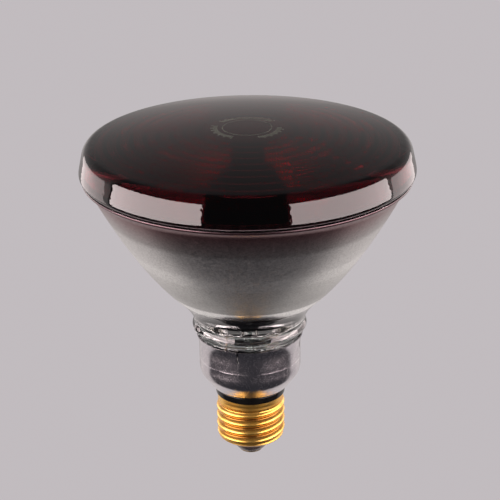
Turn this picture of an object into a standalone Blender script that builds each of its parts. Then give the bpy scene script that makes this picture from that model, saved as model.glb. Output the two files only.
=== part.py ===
"""Infrared heat lamp: sealed ruby-lensed reflector lamp with a skirted E27 screw cap.

The lamp stands on its contact: the origin is the centre of the contact's flat end, and +Z is
the lamp's axis, towards the lens.  Metres throughout.
"""

from math import atan2, cos, hypot, pi, radians, sin, sqrt, tan

import bmesh
import bpy
from mathutils import Matrix, Vector

MM = 0.001
GAP = 0.3 * MM

# Steps round a turned piece.
LARGE_STEPS = 36
CAP_STEPS = 28
SMALL_STEPS = 14

# Contact, glass insulator and screw shell.
CONTACT_RADIUS = 4.6 * MM
CONTACT_HEIGHT = 1.2 * MM
SOLDER_RADIUS = 1.3 * MM
INSULATOR_BORE = 1.9 * MM
SHELL_BOTTOM = 5.5 * MM
SHELL_TOP = 25.2 * MM
SHELL_SHEET = 0.3 * MM
THREAD_PITCH = 3.629 * MM
THREAD_CREST_RADIUS = 13.15 * MM
THREAD_ROOT_RADIUS = 12.05 * MM
THREAD_FRONT_CREST = 9.25 * MM
THREAD_START = 7.4 * MM
THREAD_END = 22.6 * MM
THREAD_FADE = 2.0 * MM
THREAD_ROWS_PER_PITCH = 5

# Insulating ring and skirt.
RING_RADIUS = 13.2 * MM
RING_BORE = 10.6 * MM
RING_BOTTOM = SHELL_TOP + GAP
SKIRT_BOTTOM = 28.4 * MM
SKIRT_RADIUS = 19.2 * MM
SKIRT_LIP_RADIUS = 20.1 * MM
SKIRT_TOP = 50.4 * MM
SKIRT_BEAD_HEIGHT = 40.9 * MM
SKIRT_SHEET = 0.35 * MM
SLIT_WIDTH = 0.7 * MM
SLIT_BOTTOM = 45.4 * MM
SLIT_BEARING = radians(-103.6)

# Glass reflector: a neck, a heel and a parabolic bowl, r * r = 4 * focus * (z - vertex).
BOWL_FOCUS = 14.4 * MM
BOWL_VERTEX = 53.86 * MM
MIRROR_FOCUS = 13.6 * MM
MIRROR_VERTEX = 56.7 * MM
BOWL_START = 69.3 * MM
BOWL_END = 112.0 * MM
RIM_RADIUS = 60.2 * MM
RIM_INNER_RADIUS = 55.6 * MM
RIM_HEIGHT = 114.5 * MM
NECK_RADIUS = 18.45 * MM
NECK_BORE = 15.4 * MM
NECK_BOTTOM = 41.0 * MM
FLOOR_TOP = 59.5 * MM
FLOOR_BOTTOM = 56.0 * MM
MIRROR_FILM = 0.3 * MM
MIRROR_BOTTOM = 62.0 * MM

# Lens.
LENS_RADIUS = 61.0 * MM
LENS_BOTTOM = RIM_HEIGHT + GAP
TAPER_START = LENS_BOTTOM + 1.9 * MM
TAPER_END = LENS_BOTTOM + 8.0 * MM
TAPER_LEAN = radians(12.5)
KNEE_FILLET = 4.2 * MM
LENS_TOP = 131.0 * MM
LENS_WALL = 3.2 * MM
RIB_COUNT = 6
RIB_DEPTH = 0.5 * MM
RIB_INNER_RADIUS = 14.0 * MM
RIB_OUTER_RADIUS = 50.0 * MM

# Mount: lead-ins through the glass floor, posts, filament and its supports.
LEAD_SPACING = 8.0 * MM
FERRULE_RADIUS = 2.7 * MM
FERRULE_SHEET = 0.4 * MM
FERRULE_BOTTOM = 54.5 * MM
FERRULE_TOP = 60.6 * MM
BRAZE_HEIGHT = 0.9 * MM
POST_RADIUS = 0.5 * MM
POST_TOP = 69.0 * MM
CLAMP_RADIUS = 0.9 * MM
CLAMP_HEIGHT = 2.2 * MM
FILAMENT_HEIGHT = MIRROR_FOCUS + MIRROR_VERTEX
FILAMENT_COIL_RADIUS = 0.9 * MM
FILAMENT_WIRE_RADIUS = 0.15 * MM
FILAMENT_TURNS = 16
FILAMENT_END_ANGLE = 0.22
BEAD_HEIGHT = 64.5 * MM
BEAD_RADIUS = 1.4 * MM
SUPPORT_WIRE_RADIUS = 0.2 * MM
SUPPORT_HOOK_RADIUS = 1.6 * MM
EXHAUST_RADIUS = 1.9 * MM
EXHAUST_BORE = 1.0 * MM
EXHAUST_TIP = 47.5 * MM

# Wiring inside the cap.
LEAD_RADIUS = 0.35 * MM
FUSE_RADIUS = 1.6 * MM
FUSE_BOTTOM = 33.0 * MM
FUSE_TOP = 41.5 * MM
SLEEVE_BOTTOM = 13.0 * MM
SLEEVE_TOP = 31.5 * MM
SHELL_SOLDER_RADIUS = 0.6 * MM


def clear_scene():
    for item in list(bpy.data.objects):
        bpy.data.objects.remove(item, do_unlink=True)


def new_collection(name):
    collection = bpy.data.collections.new(name)
    bpy.context.scene.collection.children.link(collection)
    return collection


def make_material(name, colour, roughness, metallic=0.0, transmission=0.0):
    material = bpy.data.materials.new(name)
    material.use_nodes = True
    shader = material.node_tree.nodes["Principled BSDF"]
    shader.inputs["Base Color"].default_value = (*colour, 1.0)
    shader.inputs["Roughness"].default_value = roughness
    shader.inputs["Metallic"].default_value = metallic
    shader.inputs["Transmission Weight"].default_value = transmission
    return material


def shade_round(mesh):
    mesh.shade_smooth()
    mesh.set_sharp_from_angle(angle=radians(32))


def add_mesh_object(name, mesh, material):
    shade_round(mesh)
    mesh.materials.append(material)
    piece = bpy.data.objects.new(name, mesh)
    lamp_parts.objects.link(piece)
    return piece


def turned(name, profile, steps, material, closed=True, location=(0.0, 0.0, 0.0)):
    """Turn an (r, z) outline about the Z axis; a closed outline runs down its outer side first."""
    mesh = bpy.data.meshes.new(name)
    points = [(radius, 0.0, height) for radius, height in profile]
    edges = [(index, index + 1) for index in range(len(points) - 1)]
    if closed:
        edges.append((len(points) - 1, 0))
    mesh.from_pydata(points, edges, [])
    piece = add_mesh_object(name, mesh, material)
    piece.location = location
    screw = piece.modifiers.new("Turn", "SCREW")
    screw.steps = steps
    screw.render_steps = steps
    screw.use_merge_vertices = True
    screw.merge_threshold = 0.00001
    screw.use_smooth_shade = True
    return piece


def turned_solid(name, profile, steps, material, location=(0.0, 0.0, 0.0)):
    """Turn an outline that starts and ends on the axis."""
    return turned(name, profile, steps, material, closed=False, location=location)


def wire(name, points, radius, material, sides=2):
    """A round wire through the given points, with closed ends."""
    curve = bpy.data.curves.new(name, "CURVE")
    curve.dimensions = "3D"
    curve.bevel_depth = radius
    curve.bevel_resolution = sides
    curve.use_fill_caps = True
    spline = curve.splines.new("POLY")
    spline.points.add(len(points) - 1)
    for spline_point, place in zip(spline.points, points):
        spline_point.co = (*place, 1.0)
    curve.materials.append(material)
    piece = bpy.data.objects.new(name, curve)
    lamp_parts.objects.link(piece)
    return piece


def smooth_route(points, steps=4):
    """Points along a Catmull-Rom curve through the given route."""
    ends = [points[0], *points, points[-1]]
    route = []
    for before, start, end, after in zip(ends, ends[1:], ends[2:], ends[3:]):
        before, start, end, after = map(Vector, (before, start, end, after))
        for step in range(steps):
            t = step / steps
            route.append(0.5 * (2 * start + (end - before) * t
                                + (2 * before - 5 * start + 4 * end - after) * t ** 2
                                + (3 * start - before - 3 * end + after) * t ** 3))
    route.append(Vector(points[-1]))
    return [tuple(place) for place in route]


def arc(centre, radius, start, end, steps):
    """Points of a circular arc in the (r, z) plane, angles from +r towards +z."""
    angles = [start + (end - start) * step / steps for step in range(steps + 1)]
    return [(centre[0] + radius * cos(a), centre[1] + radius * sin(a)) for a in angles]


def parabola(focus, vertex, start, end, steps):
    """Points of a parabolic bowl from one height to another."""
    heights = [start + (end - start) * step / steps for step in range(steps + 1)]
    return [(2 * sqrt(focus * (height - vertex)), height) for height in heights]


def cut(piece, cutter):
    """Subtract a cutter from a piece and put the cutter out of the way."""
    boolean = piece.modifiers.new("Cut", "BOOLEAN")
    boolean.operation = "DIFFERENCE"
    boolean.solver = "EXACT"
    boolean.object = cutter
    cutter.hide_render = True
    cutter.display_type = "WIRE"


def cylinder_cutter(name, radius, bottom, top, x=0.0):
    mesh = bpy.data.meshes.new(name)
    shape = bmesh.new()
    bmesh.ops.create_cone(shape, cap_ends=True, segments=SMALL_STEPS, radius1=radius,
                          radius2=radius, depth=top - bottom)
    bmesh.ops.translate(shape, verts=shape.verts, vec=(x, 0.0, (top + bottom) / 2))
    shape.to_mesh(mesh)
    shape.free()
    cutter = bpy.data.objects.new(name, mesh)
    cutters.objects.link(cutter)
    return cutter


def slab_cutter(name, length, width, bottom, top, bearing):
    mesh = bpy.data.meshes.new(name)
    shape = bmesh.new()
    bmesh.ops.create_cube(shape, size=1.0)
    bmesh.ops.scale(shape, verts=shape.verts, vec=(length, width, top - bottom))
    bmesh.ops.translate(shape, verts=shape.verts, vec=(0.0, 0.0, (top + bottom) / 2))
    bmesh.ops.rotate(shape, verts=shape.verts, matrix=Matrix.Rotation(bearing, 3, "Z"))
    shape.to_mesh(mesh)
    shape.free()
    cutter = bpy.data.objects.new(name, mesh)
    cutters.objects.link(cutter)
    return cutter


# Lens and reflector.

def dome_profile():
    """The apex, a shallow spherical crown and a rounded knee that ends on the tapered band."""
    band_radius = LENS_RADIUS - (TAPER_END - TAPER_START) * tan(TAPER_LEAN)
    knee = (band_radius - KNEE_FILLET * cos(TAPER_LEAN), TAPER_END - KNEE_FILLET * sin(TAPER_LEAN))
    rise = LENS_TOP - knee[1]
    ball = (knee[0] ** 2 + rise ** 2 - KNEE_FILLET ** 2) / (2 * (rise - KNEE_FILLET))
    lean = atan2(knee[0], ball - rise)
    crown_arc = arc((0.0, LENS_TOP - ball), ball, pi / 2, pi / 2 - lean, 5)
    knee_arc = arc(knee, KNEE_FILLET, pi / 2 - lean, TAPER_LEAN, 4)
    return [(0.0, LENS_TOP)] + crown_arc[1:] + knee_arc[1:], ball


def make_front_lens(material):
    outer, ball = dome_profile()
    flange = [(LENS_RADIUS, TAPER_START), (LENS_RADIUS, LENS_BOTTOM + 0.6 * MM),
              (RIM_RADIUS, LENS_BOTTOM)]
    seat = [(RIM_INNER_RADIUS, LENS_BOTTOM), (RIM_INNER_RADIUS - 0.6 * MM, TAPER_END - 3.4 * MM)]
    inner_ball = ball - LENS_WALL
    centre_height = LENS_TOP - ball
    inside = []
    pitch = (RIB_OUTER_RADIUS - RIB_INNER_RADIUS) / RIB_COUNT
    for rib in range(RIB_COUNT, -1, -1):
        radius = RIB_INNER_RADIUS + rib * pitch
        height = centre_height + sqrt(inner_ball ** 2 - radius ** 2)
        inside.append((radius, height))
        if rib:
            crest = radius - pitch / 2
            inside.append((crest, centre_height + sqrt(inner_ball ** 2 - crest ** 2) - RIB_DEPTH))
    inside.append((0.0, centre_height + inner_ball))
    return turned_solid("front_lens", outer + flange + seat + inside, LARGE_STEPS, material)


def make_reflector_body(material):
    bowl = parabola(BOWL_FOCUS, BOWL_VERTEX, BOWL_END, BOWL_START, 6)
    heel = [(25.7 * MM, 64.7 * MM), (22.9 * MM, 60.4 * MM), (21.2 * MM, 55.2 * MM),
            (19.3 * MM, 50.8 * MM)]
    neck = [(NECK_RADIUS, 46.5 * MM), (NECK_RADIUS, NECK_BOTTOM + 0.8 * MM),
            (NECK_RADIUS - 0.6 * MM, NECK_BOTTOM), (NECK_BORE, NECK_BOTTOM),
            (NECK_BORE - 0.2 * MM, 52.5 * MM), (13.0 * MM, FLOOR_BOTTOM), (0.0, FLOOR_BOTTOM)]
    mirror_side = parabola(MIRROR_FOCUS, MIRROR_VERTEX, FLOOR_TOP + 1.5 * MM, BOWL_END, 7)
    inside = [(0.0, FLOOR_TOP), (13.6 * MM, FLOOR_TOP)] + mirror_side
    rim = [(RIM_INNER_RADIUS, RIM_HEIGHT), (RIM_RADIUS - 0.5 * MM, RIM_HEIGHT),
           (RIM_RADIUS, RIM_HEIGHT - 0.5 * MM)]
    outline = rim + bowl + heel + neck + inside
    # The outline must start on the axis, so it is opened at the floor's middle.
    start = outline.index((0.0, FLOOR_TOP))
    outline = outline[start:] + outline[:start]
    body = turned_solid("reflector_body", outline, LARGE_STEPS, material)
    for side, label in ((-1, "left"), (1, "right")):
        hole = cylinder_cutter("ferrule_hole_" + label, FERRULE_RADIUS + GAP,
                               FLOOR_BOTTOM - 2 * MM, FLOOR_TOP + 2 * MM, side * LEAD_SPACING)
        cut(body, hole)
    cut(body, cylinder_cutter("exhaust_hole", EXHAUST_RADIUS + GAP, FLOOR_BOTTOM - 2 * MM,
                              FLOOR_TOP + 2 * MM))
    return body


def offset_inwards(points, distance):
    """Move an (r, z) line sideways, towards the axis and up, by a distance."""
    moved = []
    for index, (radius, height) in enumerate(points):
        before = points[max(index - 1, 0)]
        after = points[min(index + 1, len(points) - 1)]
        along = (after[0] - before[0], after[1] - before[1])
        length = hypot(*along)
        moved.append((radius - distance * along[1] / length, height + distance * along[0] / length))
    return moved


def make_mirror_coating(material):
    glass = parabola(MIRROR_FOCUS, MIRROR_VERTEX, MIRROR_BOTTOM, BOWL_END - 1.0 * MM, 7)
    back = offset_inwards(glass, GAP + 0.25 * MM)
    face = offset_inwards(glass, GAP + 0.25 * MM + MIRROR_FILM)
    return turned("mirror_coating", back[::-1] + face, LARGE_STEPS, material)


# Mount.

def make_ferrule(side, label, material):
    rim = FERRULE_RADIUS
    bore = rim - FERRULE_SHEET
    roof = FERRULE_TOP - FERRULE_SHEET
    profile = [(0.0, FERRULE_TOP), (rim - 0.5 * MM, FERRULE_TOP), (rim, FERRULE_TOP - 0.5 * MM),
               (rim, FERRULE_BOTTOM), (bore, FERRULE_BOTTOM), (bore, roof), (0.0, roof)]
    return turned_solid("ferrule_" + label, profile, SMALL_STEPS, material,
                        (side * LEAD_SPACING, 0.0, 0.0))


def make_braze(side, label, material):
    bottom = FERRULE_TOP + GAP
    profile = [(POST_RADIUS + GAP + 0.3 * MM, bottom + BRAZE_HEIGHT), (1.6 * MM, bottom + 0.2 * MM),
               (1.6 * MM, bottom), (POST_RADIUS + GAP, bottom),
               (POST_RADIUS + GAP, bottom + BRAZE_HEIGHT)]
    return turned("ferrule_braze_" + label, profile, SMALL_STEPS, material,
                  location=(side * LEAD_SPACING, 0.0, 0.0))


def make_post(side, label, material):
    x = side * LEAD_SPACING
    return wire("lead_post_" + label, [(x, 0.0, FERRULE_TOP + GAP), (x, 0.0, POST_TOP)],
                POST_RADIUS, material)


def make_clamp(side, label, material):
    bottom = POST_TOP + GAP
    top = bottom + CLAMP_HEIGHT
    chamfer = 0.25 * MM
    profile = [(0.0, top), (CLAMP_RADIUS - chamfer, top), (CLAMP_RADIUS, top - chamfer),
               (CLAMP_RADIUS, bottom), (0.0, bottom)]
    return turned_solid("filament_clamp_" + label, profile, SMALL_STEPS, material,
                        (side * LEAD_SPACING, 0.0, 0.0))


def filament_point(share):
    """A point of the coil's centre line: half a ring, round the front from right to left."""
    angle = -FILAMENT_END_ANGLE - share * (pi - 2 * FILAMENT_END_ANGLE)
    return angle, Vector((LEAD_SPACING * cos(angle), LEAD_SPACING * sin(angle), FILAMENT_HEIGHT))


def make_filament(material):
    points_per_turn = 6
    count = FILAMENT_TURNS * points_per_turn
    points = []
    for index in range(count + 1):
        angle, centre = filament_point(index / count)
        turn = 2 * pi * index / points_per_turn
        outward = Vector((cos(angle), sin(angle), 0.0))
        place = centre + FILAMENT_COIL_RADIUS * (outward * cos(turn) + Vector((0, 0, sin(turn))))
        points.append(tuple(place))
    return wire("filament", points, FILAMENT_WIRE_RADIUS, material, sides=1)


def make_support(share, label, material):
    """A stem from the bead to an open hook round the filament."""
    angle, centre = filament_point(share)
    outward = Vector((cos(angle), sin(angle), 0.0))
    up = Vector((0.0, 0.0, 1.0))
    hook = []
    for step in range(11):
        turn = -pi / 2 + step * radians(28)
        hook.append(tuple(centre + SUPPORT_HOOK_RADIUS * (outward * cos(turn) + up * sin(turn))))
    reach = BEAD_RADIUS + GAP + SUPPORT_WIRE_RADIUS
    stem = [(centre.x, -reach, BEAD_HEIGHT), (centre.x, centre.y + 1.0 * MM, BEAD_HEIGHT + 0.4 * MM),
            (centre.x, centre.y, BEAD_HEIGHT + 1.6 * MM)]
    return wire("filament_support_" + label, stem + hook, SUPPORT_WIRE_RADIUS, material, sides=1)


def make_bead(material):
    reach = LEAD_SPACING - POST_RADIUS - GAP - 0.1 * MM
    shoulder = 0.5 * MM
    profile = [(0.0, reach), (BEAD_RADIUS - shoulder, reach), (BEAD_RADIUS, reach - shoulder),
               (BEAD_RADIUS, shoulder - reach), (BEAD_RADIUS - shoulder, -reach), (0.0, -reach)]
    bead = turned_solid("support_bead", profile, SMALL_STEPS, material, (0.0, 0.0, BEAD_HEIGHT))
    bead.rotation_euler = (0.0, pi / 2, 0.0)
    return bead


def make_exhaust_tip(material):
    top = FLOOR_TOP
    tip = arc((0.0, EXHAUST_TIP + EXHAUST_RADIUS), EXHAUST_RADIUS, 0.0, -pi / 2, 3)
    well = EXHAUST_TIP + 2.4 * MM
    profile = [(EXHAUST_BORE, top), (EXHAUST_RADIUS, top)] + tip[:-1]
    profile = [(0.0, well), (EXHAUST_BORE, well + 0.6 * MM)] + profile + [(0.0, EXHAUST_TIP)]
    return turned_solid("exhaust_tip", profile, SMALL_STEPS, material)


# Cap.

def make_skirt(material):
    sheet = SKIRT_SHEET
    outside = [(SKIRT_LIP_RADIUS, SKIRT_TOP), (SKIRT_RADIUS + 0.35 * MM, 48.4 * MM),
               (SKIRT_RADIUS, 46.4 * MM), (SKIRT_RADIUS, SKIRT_BEAD_HEIGHT + 0.7 * MM),
               (SKIRT_RADIUS + 0.2 * MM, SKIRT_BEAD_HEIGHT),
               (SKIRT_RADIUS, SKIRT_BEAD_HEIGHT - 0.7 * MM), (SKIRT_RADIUS, 37.2 * MM),
               (18.6 * MM, 34.5 * MM), (16.9 * MM, 32.4 * MM), (15.4 * MM, 30.3 * MM),
               (14.3 * MM, 28.9 * MM), (13.3 * MM, SKIRT_BOTTOM), (11.6 * MM, SKIRT_BOTTOM)]
    inside = offset_inwards(outside[::-1], sheet)
    skirt = turned("skirt", outside + inside, CAP_STEPS, material)
    length = 2 * (SKIRT_LIP_RADIUS + 1.0 * MM)
    for index in range(2):
        slab = slab_cutter(f"slit_cutter_{index + 1}", length, SLIT_WIDTH, SLIT_BOTTOM,
                           SKIRT_TOP + 2 * MM, SLIT_BEARING + index * pi / 2)
        cut(skirt, slab)
    return skirt


def make_insulating_ring(material):
    top = SKIRT_BOTTOM - GAP
    hub_top = SKIRT_BOTTOM + 2.0 * MM
    hub_bottom = SHELL_TOP - 2.0 * MM
    profile = [(11.0 * MM, hub_top), (11.0 * MM, top), (RING_RADIUS - 0.3 * MM, top),
               (RING_RADIUS, top - 0.3 * MM), (RING_RADIUS, RING_BOTTOM + 0.3 * MM),
               (RING_RADIUS - 0.3 * MM, RING_BOTTOM), (12.0 * MM, RING_BOTTOM),
               (12.0 * MM, hub_bottom), (RING_BORE, hub_bottom), (RING_BORE, hub_top - 1.0 * MM)]
    return turned("insulating_ring", profile, CAP_STEPS, material)


def thread_share(height):
    """How deep the rolled thread is at a height, from 0 at its ends to 1."""
    run_in = (height - THREAD_START) / THREAD_FADE
    run_out = (THREAD_END - height) / THREAD_FADE
    return max(0.0, min(1.0, run_in, run_out))


def shell_outline():
    """The plain shell before rolling: (r, z) of its mean thread surface, top to bottom."""
    middle = (THREAD_CREST_RADIUS + THREAD_ROOT_RADIUS) / 2
    rows = round((THREAD_END - THREAD_START) / THREAD_PITCH * THREAD_ROWS_PER_PITCH)
    outline = [(12.75 * MM, SHELL_TOP), (12.6 * MM, SHELL_TOP - 1.2 * MM)]
    for row in range(rows + 1):
        outline.append((middle, THREAD_END + (THREAD_START - THREAD_END) * row / rows))
    return outline + [(11.7 * MM, 6.6 * MM), (10.3 * MM, 5.9 * MM), (9.0 * MM, SHELL_BOTTOM)]


def make_screw_shell(material):
    outline = shell_outline()
    depth = (THREAD_CREST_RADIUS - THREAD_ROOT_RADIUS) / 2
    shape = bmesh.new()
    places = [shape.verts.new((radius, 0.0, height)) for radius, height in outline]
    seam = [shape.edges.new(pair) for pair in zip(places, places[1:])]
    bmesh.ops.spin(shape, geom=places + seam, cent=(0, 0, 0), axis=(0, 0, 1), angle=2 * pi,
                   steps=CAP_STEPS, use_merge=True)
    bmesh.ops.recalc_face_normals(shape, faces=shape.faces)
    for vertex in shape.verts:
        bearing = atan2(vertex.co.y, vertex.co.x) + pi / 2
        rise = vertex.co.z - THREAD_FRONT_CREST
        wave = cos(2 * pi * rise / THREAD_PITCH - bearing)
        radius = hypot(vertex.co.x, vertex.co.y)
        rolled = radius + depth * wave * thread_share(vertex.co.z)
        vertex.co.x *= rolled / radius
        vertex.co.y *= rolled / radius
    mesh = bpy.data.meshes.new("screw_shell")
    shape.to_mesh(mesh)
    shape.free()
    shell = add_mesh_object("screw_shell", mesh, material)
    sheet = shell.modifiers.new("Sheet", "SOLIDIFY")
    sheet.thickness = SHELL_SHEET
    sheet.offset = -1.0
    return shell


def make_base_insulator(material):
    seat = CONTACT_HEIGHT + GAP
    collar = CONTACT_RADIUS + GAP
    profile = [(10.6 * MM, 10.0 * MM), (10.9 * MM, 9.4 * MM), (10.9 * MM, 8.2 * MM),
               (8.4 * MM, 6.2 * MM), (8.4 * MM, 5.2 * MM), (5.4 * MM, 1.1 * MM),
               (5.1 * MM, 0.95 * MM), (collar, 0.95 * MM), (collar, seat), (INSULATOR_BORE, seat),
               (INSULATOR_BORE, 8.6 * MM), (4.0 * MM, 9.6 * MM)]
    return turned("base_insulator", profile, CAP_STEPS, material)


def make_centre_contact(material):
    bore = SOLDER_RADIUS + GAP
    chamfer = 0.25 * MM
    profile = [(CONTACT_RADIUS, CONTACT_HEIGHT), (CONTACT_RADIUS, 0.4 * MM),
               (CONTACT_RADIUS - 0.4 * MM, 0.0), (bore + chamfer, 0.0), (bore, chamfer),
               (bore, CONTACT_HEIGHT)]
    return turned("centre_contact", profile, CAP_STEPS, material)


def make_contact_solder(material):
    profile = [(0.0, 1.5 * MM), (SOLDER_RADIUS - 0.3 * MM, 1.5 * MM),
               (SOLDER_RADIUS, 1.1 * MM), (SOLDER_RADIUS, 0.0), (0.0, 0.0)]
    return turned_solid("contact_solder", profile, SMALL_STEPS, material)


# Wiring.

def make_fuse(material):
    shoulder = 0.5 * MM
    profile = [(0.0, FUSE_TOP), (FUSE_RADIUS - shoulder, FUSE_TOP),
               (FUSE_RADIUS, FUSE_TOP - shoulder), (FUSE_RADIUS, FUSE_BOTTOM + shoulder),
               (FUSE_RADIUS - shoulder, FUSE_BOTTOM), (0.0, FUSE_BOTTOM)]
    return turned_solid("fuse", profile, SMALL_STEPS, material)


def make_lead_wires(material):
    cup = FERRULE_TOP - FERRULE_SHEET - GAP
    upper = [(LEAD_SPACING, 0, cup), (LEAD_SPACING, 0, 53 * MM), (6.4 * MM, 0, 47.5 * MM),
             (2.4 * MM, 0, 45.2 * MM), (0.2 * MM, 0, 43.6 * MM), (0, 0, FUSE_TOP + GAP)]
    lower = [(0, 0, FUSE_BOTTOM - GAP), (0, 0, 2.0 * MM)]
    side = [(-LEAD_SPACING, 0, cup), (-LEAD_SPACING, 0, 53 * MM), (-8.6 * MM, 0, 44 * MM),
            (-9.6 * MM, 0, 35 * MM), (-9.5 * MM, 0, 28 * MM), (-9.3 * MM, 0, 21.3 * MM)]
    wire("lead_wire_fused", smooth_route(upper), LEAD_RADIUS, material)
    wire("lead_wire_centre", lower, LEAD_RADIUS, material)
    wire("lead_wire_shell", smooth_route(side), LEAD_RADIUS, material)


def make_sleeve(material):
    bore = LEAD_RADIUS + GAP
    outer = bore + 0.5 * MM
    profile = [(outer, SLEEVE_TOP), (outer, SLEEVE_BOTTOM), (bore, SLEEVE_BOTTOM),
               (bore, SLEEVE_TOP)]
    return turned("insulating_sleeve", profile, SMALL_STEPS, material)


def make_shell_solder(material):
    mesh = bpy.data.meshes.new("shell_solder")
    shape = bmesh.new()
    bmesh.ops.create_uvsphere(shape, u_segments=10, v_segments=6, radius=SHELL_SOLDER_RADIUS)
    shape.to_mesh(mesh)
    shape.free()
    solder = add_mesh_object("shell_solder", mesh, material)
    solder.location = (-10.7 * MM, 0.0, 21.6 * MM)
    return solder


clear_scene()
lamp_parts = new_collection("infrared_heat_lamp")
cutters = new_collection("cutters")

ruby_glass = make_material("ruby_glass", (0.10, 0.004, 0.006), 0.03, transmission=0.8)
clear_glass = make_material("clear_glass", (0.90, 0.92, 0.92), 0.05, transmission=0.9)
mirror_film = make_material("mirror_film", (0.78, 0.78, 0.77), 0.22, metallic=1.0)
ferrule_alloy = make_material("ferrule_alloy", (0.52, 0.50, 0.47), 0.35, metallic=1.0)
braze_alloy = make_material("braze_alloy", (0.72, 0.60, 0.40), 0.40, metallic=1.0)
lead_nickel = make_material("lead_nickel", (0.62, 0.60, 0.56), 0.30, metallic=1.0)
tungsten = make_material("tungsten", (0.30, 0.30, 0.31), 0.45, metallic=1.0)
bead_glass = make_material("bead_glass", (0.80, 0.84, 0.80), 0.12)
skirt_aluminium = make_material("skirt_aluminium", (0.62, 0.61, 0.63), 0.26, metallic=1.0)
black_insulation = make_material("black_insulation", (0.012, 0.011, 0.012), 0.18)
shell_brass = make_material("shell_brass", (0.78, 0.57, 0.23), 0.20, metallic=1.0)
black_glass = make_material("black_glass", (0.03, 0.025, 0.03), 0.10)
contact_brass = make_material("contact_brass", (0.72, 0.55, 0.28), 0.28, metallic=1.0)
solder_alloy = make_material("solder_alloy", (0.60, 0.60, 0.60), 0.38, metallic=1.0)
copper_wire = make_material("copper_wire", (0.72, 0.38, 0.22), 0.35, metallic=1.0)
fuse_body = make_material("fuse_body", (0.86, 0.84, 0.78), 0.45)
sleeve_fibre = make_material("sleeve_fibre", (0.82, 0.80, 0.70), 0.85)

make_front_lens(ruby_glass)
make_reflector_body(clear_glass)
make_mirror_coating(mirror_film)
for lead_side, lead_label in ((-1, "left"), (1, "right")):
    make_ferrule(lead_side, lead_label, ferrule_alloy)
    make_braze(lead_side, lead_label, braze_alloy)
    make_post(lead_side, lead_label, lead_nickel)
    make_clamp(lead_side, lead_label, lead_nickel)
make_filament(tungsten)
make_support(0.72, "left", lead_nickel)
make_support(0.28, "right", lead_nickel)
make_bead(bead_glass)
make_exhaust_tip(clear_glass)
make_skirt(skirt_aluminium)
make_insulating_ring(black_insulation)
make_screw_shell(shell_brass)
make_base_insulator(black_glass)
make_centre_contact(contact_brass)
make_contact_solder(solder_alloy)
make_fuse(fuse_body)
make_lead_wires(copper_wire)
make_sleeve(sleeve_fibre)
make_shell_solder(solder_alloy)
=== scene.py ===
"""Looks of the infrared heat lamp: fine meshes, materials, studio light and camera."""

import math

import bmesh
import bpy
from mathutils import Matrix, Vector


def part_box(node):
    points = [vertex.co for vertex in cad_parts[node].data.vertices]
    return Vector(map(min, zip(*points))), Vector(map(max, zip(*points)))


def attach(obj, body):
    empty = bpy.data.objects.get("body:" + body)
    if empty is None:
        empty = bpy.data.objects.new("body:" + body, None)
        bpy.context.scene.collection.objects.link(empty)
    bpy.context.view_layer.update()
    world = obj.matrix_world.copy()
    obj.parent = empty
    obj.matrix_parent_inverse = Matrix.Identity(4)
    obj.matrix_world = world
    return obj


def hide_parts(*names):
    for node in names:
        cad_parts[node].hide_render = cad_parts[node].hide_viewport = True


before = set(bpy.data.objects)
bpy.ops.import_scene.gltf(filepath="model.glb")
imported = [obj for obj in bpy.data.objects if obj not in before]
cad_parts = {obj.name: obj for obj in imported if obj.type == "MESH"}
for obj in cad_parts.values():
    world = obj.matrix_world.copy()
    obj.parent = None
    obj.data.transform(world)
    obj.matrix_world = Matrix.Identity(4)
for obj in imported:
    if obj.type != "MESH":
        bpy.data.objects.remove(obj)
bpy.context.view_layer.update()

MM = 0.001
ROUND_STEPS = 160
SMALL_STEPS = 48

# Heights and radii that the frame gives.
lens_low, lens_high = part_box("front_lens")
glass_low, glass_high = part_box("reflector_body")
skirt_low, skirt_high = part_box("skirt")
shell_low, shell_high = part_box("screw_shell")
ring_low, ring_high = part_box("insulating_ring")
_, insulator_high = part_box("base_insulator")
_, contact_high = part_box("centre_contact")
_, solder_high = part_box("contact_solder")
coil_low, coil_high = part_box("filament")

# Lens.
LENS_RADIUS = lens_high.x
LENS_BOTTOM = lens_low.z
LENS_TOP = lens_high.z
LENS_WALL = 3.2 * MM
SEAL_HEIGHT = 0.6 * MM
EDGE_RADIUS = 54.6 * MM
TAPER_START = LENS_BOTTOM + 1.9 * MM
TAPER_END = LENS_BOTTOM + 8.0 * MM
TAPER_LEAN = math.radians(12.5)
KNEE_FILLET = 4.2 * MM
RIB_INNER_RADIUS = 14.0 * MM
RIB_OUTER_RADIUS = 52.0 * MM
RIB_PITCH = 4.75 * MM
RIB_DEPTH = 0.8 * MM
RIB_STEPS = 14
MARK_LIFT = 0.012 * MM
MARK_DEPTH = 0.02 * MM

# Reflector: r * r = 4 * focus * (z - vertex) for the bowl and for the mirror.
BOWL_FOCUS = 14.4 * MM
BOWL_VERTEX = 53.86 * MM
MIRROR_FOCUS = 13.6 * MM
MIRROR_VERTEX = 56.7 * MM
BOWL_END = 112.0 * MM
MIRROR_BOTTOM = 61.2 * MM
SILVER_BOTTOM = 67.0 * MM
SATIN_BOTTOM = 70.6 * MM
HEEL_BOTTOM = 58.2 * MM
RIM_RADIUS = glass_high.x
RIM_HEIGHT = glass_high.z
RIM_INNER_RADIUS = 55.6 * MM
NECK_BORE = 15.4 * MM
FLOOR_TOP = 59.5 * MM
FLOOR_BOTTOM = 56.0 * MM
FLOOR_GAP = 0.2 * MM

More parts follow.
